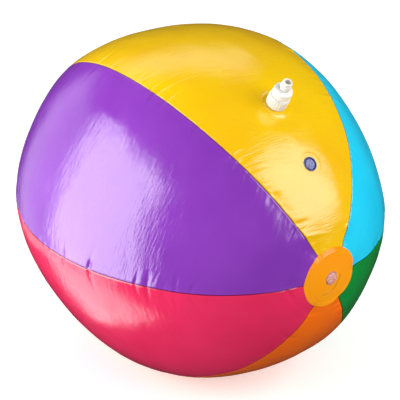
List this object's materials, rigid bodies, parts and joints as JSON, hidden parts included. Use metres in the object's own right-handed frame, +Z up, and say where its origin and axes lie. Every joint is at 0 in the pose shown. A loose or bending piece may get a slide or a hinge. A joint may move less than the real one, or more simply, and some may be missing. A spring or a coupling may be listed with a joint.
{
  "type": "inflatable sprinkler beach ball",
  "caption": "Inflated vinyl beach ball of welded colour panels with end discs, a push-in air valve, a drain valve and a quick-fit garden hose inlet.",
  "frame": {"origin": "on the ground, at the middle of the flat patch where the ball rests, under the centre of the ball", "axes": "+Z up, -Z through the resting patch, Y along the ball's longest extent, from the valve end disc at -Y to the closed end disc at +Y"},
  "size_m": [0.58, 0.6727, 0.5784],
  "materials": {
    "film_yellow": "gloss",
    "film_blue": "gloss",
    "film_green": "gloss",
    "film_orange": "gloss",
    "film_red": "gloss",
    "film_purple": "gloss",
    "disc_orange": "gloss",
    "clear_vinyl": "gloss",
    "white_plastic": "gloss",
    "seal_rubber": "matte",
    "seal_silicone": "satin"
  },
  "bodies": {
    "ball": {"gore_yellow": "film_yellow", "gore_blue": "film_blue", "gore_green": "film_green", "gore_orange": "film_orange", "gore_red": "film_red", "gore_purple": "film_purple", "valve_end_disc": "disc_orange", "closed_end_disc": "disc_orange", "valve_ring": "clear_vinyl", "valve_skirt": "clear_vinyl", "drain_ring": "clear_vinyl", "drain_skirt": "clear_vinyl", "inlet_port": "white_plastic"},
    "air_stem": {"valve_stem": "clear_vinyl", "valve_tether": "clear_vinyl"},
    "air_plug": {"valve_plug": "clear_vinyl"},
    "air_flap": {"check_flap": "clear_vinyl"},
    "drain_stem": {"drain_stem": "clear_vinyl", "drain_tether": "clear_vinyl"},
    "drain_plug": {"drain_plug": "clear_vinyl"},
    "nipple": {"hose_nipple": "white_plastic", "inlet_washer": "seal_rubber", "nipple_seal": "seal_silicone"},
    "collar": {"hose_collar": "white_plastic"}
  },
  "joints": [
    {"name": "valve_stem_slide", "type": "slide", "parent": "ball", "child": "air_stem", "axis": [0, -1, 0], "range_m": [0, 0.016], "deforming": ["valve_skirt"]},
    {"name": "valve_plug_pull", "type": "slide", "parent": "air_stem", "child": "air_plug", "axis": [0, -1, 0], "range_m": [0, 0.014], "deforming": ["valve_tether"]},
    {"name": "check_flap_hinge", "type": "hinge", "parent": "air_stem", "child": "air_flap", "pos_m": [0, -0.3186, 0.29444], "axis": [1, 0, 0], "range_deg": [0, 60], "stiffness_Nm_per_rad": 0.0002},
    {"name": "drain_stem_slide", "type": "slide", "parent": "ball", "child": "drain_stem", "axis": [0, -0.766, 0.6428], "range_m": [0, 0.016], "deforming": ["drain_skirt"]},
    {"name": "drain_plug_pull", "type": "slide", "parent": "drain_stem", "child": "drain_plug", "axis": [0, -0.766, 0.6428], "range_m": [0, 0.014], "deforming": ["drain_tether"]},
    {"name": "nipple_lift", "type": "slide", "parent": "ball", "child": "nipple", "axis": [0, -0.5, 0.866], "range_m": [0, 0.00725]},
    {"name": "collar_spin", "type": "hinge", "parent": "nipple", "child": "collar", "pos_m": [0, -0.19416, 0.53642], "axis": [0, -0.5, 0.866], "range_deg": [0, 1440]}
  ],
  "couplings": [
    {"joint": "nipple_lift", "follows": "collar_spin", "m_per_rad": 0.00028871}
  ]
}
